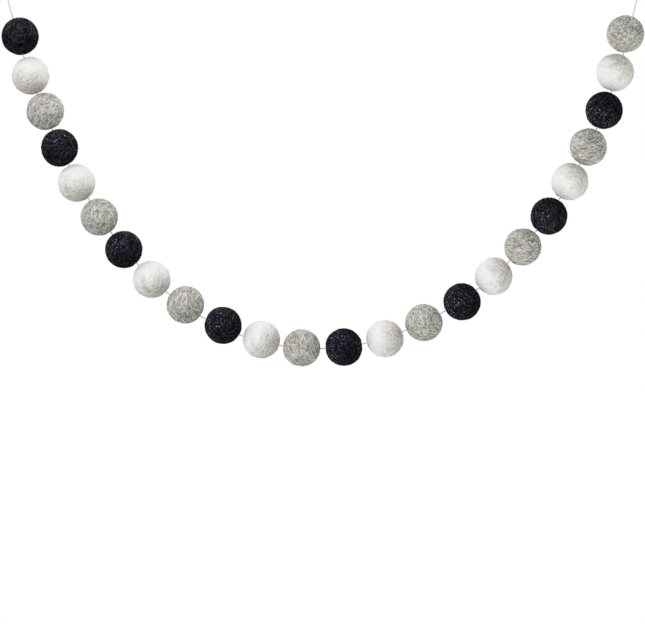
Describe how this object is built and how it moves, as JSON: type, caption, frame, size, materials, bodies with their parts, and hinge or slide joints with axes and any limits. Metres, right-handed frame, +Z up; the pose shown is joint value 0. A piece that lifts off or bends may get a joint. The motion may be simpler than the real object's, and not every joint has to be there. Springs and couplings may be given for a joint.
{
  "type": "felt ball garland",
  "caption": "Garland of round felt balls in black, white and grey, strung on one thin string that hangs in a deep curve between two tied hanging loops.",
  "frame": {"origin": "where the left loop bears on whatever holds it up: the underside of the loop's round top", "axes": "+X from the garland's left end to its right end as seen from the front, +Y to the back, +Z up. The string hangs in the plane Y = 0, and both loops bear at Z = 0."},
  "size_m": [0.4453, 0.025, 0.2805],
  "materials": {
    "felt_black": "black wool felt with a faint navy haze, matte",
    "felt_white": "undyed white wool felt, matte",
    "felt_grey": "heathered grey wool felt with pale strands, matte",
    "string": "off-white twisted cotton string, matte"
  },
  "bodies": {
    "root": {"ball_01": "felt_black", "ball_02": "felt_white", "ball_03": "felt_grey", "ball_04": "felt_black", "ball_05": "felt_white", "ball_06": "felt_grey", "ball_07": "felt_black", "ball_08": "felt_white", "ball_09": "felt_grey", "ball_10": "felt_black", "ball_11": "felt_white", "ball_12": "felt_grey", "ball_13": "felt_black", "ball_14": "felt_white", "ball_15": "felt_grey", "ball_16": "felt_black", "ball_17": "felt_white", "ball_18": "felt_grey", "ball_19": "felt_black", "ball_20": "felt_white", "ball_21": "felt_grey", "ball_22": "felt_black", "ball_23": "felt_white", "ball_24": "felt_grey", "string": "string", "left_loop": "string", "right_loop": "string"}
  },
  "joints": []
}
